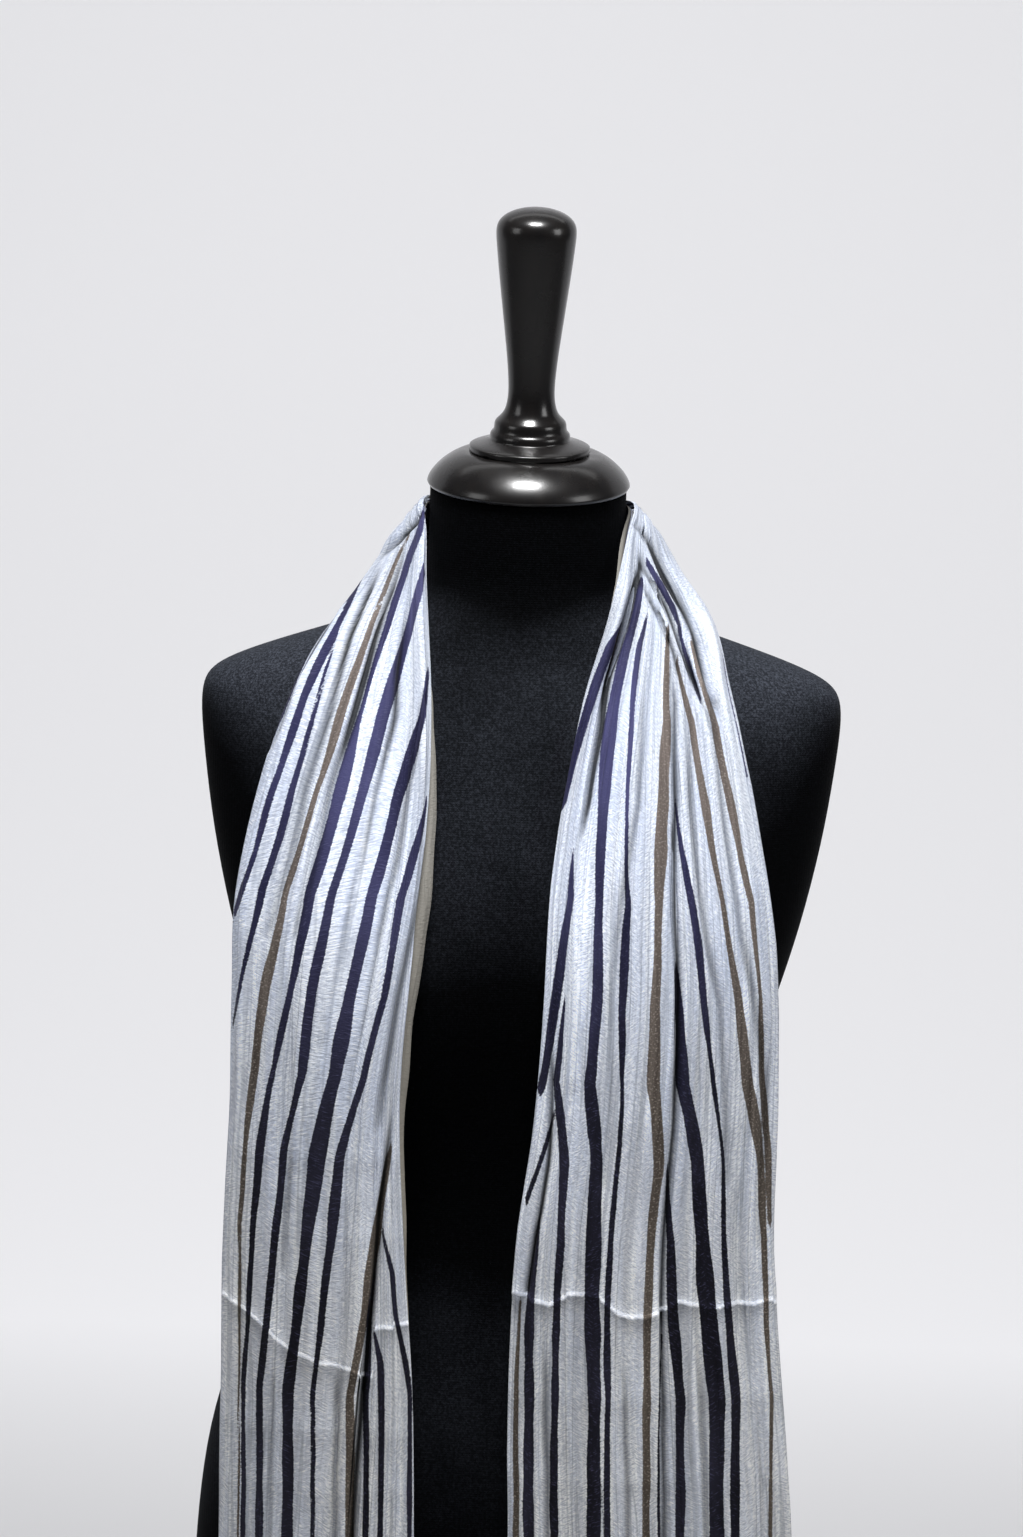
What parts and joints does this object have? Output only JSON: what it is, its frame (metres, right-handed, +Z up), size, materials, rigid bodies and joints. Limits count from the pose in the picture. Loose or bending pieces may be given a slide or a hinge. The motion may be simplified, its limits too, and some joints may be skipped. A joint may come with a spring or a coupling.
{
  "type": "chiffon stole on limbless dress form",
  "caption": "Crinkled striped chiffon stole, doubled along its length, hung round the neck of a limbless dress form on a post with a round foot.",
  "frame": {"origin": "on the counter, under the middle of the round foot", "axes": "+Z up; the form faces -Y; +X is the right-hand side seen from the front"},
  "size_m": [0.397, 0.33, 1.1383],
  "materials": {
    "chiffon": "crinkled sheer weave",
    "jersey": "fine matt knit",
    "black_wood": "gloss lacquer"
  },
  "bodies": {
    "root": {"stole_neck": "chiffon", "stole_left": "chiffon", "stole_right": "chiffon", "form_torso": "jersey", "form_neck_cap": "black_wood", "form_finial": "black_wood", "stand_post": "black_wood", "stand_foot": "black_wood"}
  },
  "joints": []
}
